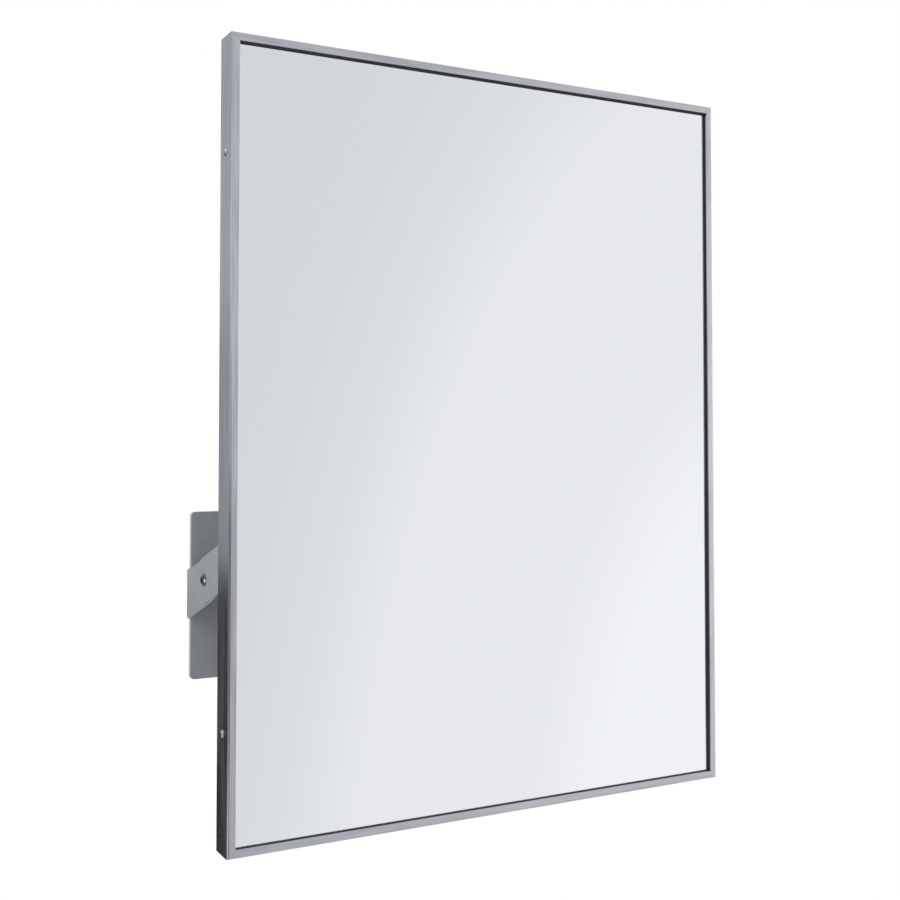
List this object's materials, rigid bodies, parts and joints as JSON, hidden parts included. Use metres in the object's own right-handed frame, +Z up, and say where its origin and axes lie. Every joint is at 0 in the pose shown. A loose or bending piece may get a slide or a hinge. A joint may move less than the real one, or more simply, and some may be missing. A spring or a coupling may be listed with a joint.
{
  "type": "pivot wall mirror",
  "caption": "Framed rectangular wall mirror that tilts up and down on side pivots, held by folded arms on a flat wall plate.",
  "frame": {"origin": "centre of the wall plate's back face, on the wall", "axes": "+Z up, -Y to the front, the way the glass faces, +X to the right as seen from the front; +Y goes into the wall"},
  "size_m": [0.453, 0.119, 0.603],
  "materials": {
    "satin_stainless_steel": "satin",
    "silvered_glass": "polished",
    "black_rubber": "matte",
    "hardboard": "matte",
    "galvanised_steel": "matte",
    "grey_powder_coat": "satin",
    "stainless_screws": "polished",
    "dark_steel": "satin",
    "zinc_plated_steel": "satin",
    "nylon": "matte"
  },
  "bodies": {
    "wall_bracket": {"wall_plate": "grey_powder_coat", "wall_arm_left": "grey_powder_coat", "pivot_bolt_left": "dark_steel", "friction_washer_left": "nylon", "pivot_washer_left": "zinc_plated_steel", "lock_nut_left": "zinc_plated_steel", "wall_arm_right": "grey_powder_coat", "pivot_bolt_right": "dark_steel", "friction_washer_right": "nylon", "pivot_washer_right": "zinc_plated_steel", "lock_nut_right": "zinc_plated_steel"},
    "mirror": {"frame_rail_top": "satin_stainless_steel", "frame_rail_right": "satin_stainless_steel", "frame_rail_bottom": "satin_stainless_steel", "frame_rail_left": "satin_stainless_steel", "glazing_strip_top": "black_rubber", "glazing_strip_right": "black_rubber", "glazing_strip_bottom": "black_rubber", "glazing_strip_left": "black_rubber", "frame_screw_top_left": "stainless_screws", "frame_screw_top_right": "stainless_screws", "frame_screw_bottom_left": "stainless_screws", "frame_screw_bottom_right": "stainless_screws", "frame_screw_left_upper": "stainless_screws", "frame_screw_left_lower": "stainless_screws", "frame_screw_right_upper": "stainless_screws", "frame_screw_right_lower": "stainless_screws", "mirror_glass": "silvered_glass", "backing_board": "hardboard", "back_tray": "galvanised_steel", "mirror_arm_left": "grey_powder_coat", "arm_screw_left_upper": "zinc_plated_steel", "weld_nut_left_upper": "zinc_plated_steel", "arm_screw_left_lower": "zinc_plated_steel", "weld_nut_left_lower": "zinc_plated_steel", "mirror_arm_right": "grey_powder_coat", "arm_screw_right_upper": "zinc_plated_steel", "weld_nut_right_upper": "zinc_plated_steel", "arm_screw_right_lower": "zinc_plated_steel", "weld_nut_right_lower": "zinc_plated_steel"}
  },
  "joints": [
    {"name": "mirror_tilt", "type": "hinge", "parent": "wall_bracket", "child": "mirror", "pos_m": [0, -0.054, 0.0183], "axis": [1, 0, 0], "range_deg": [-12, 24]}
  ]
}
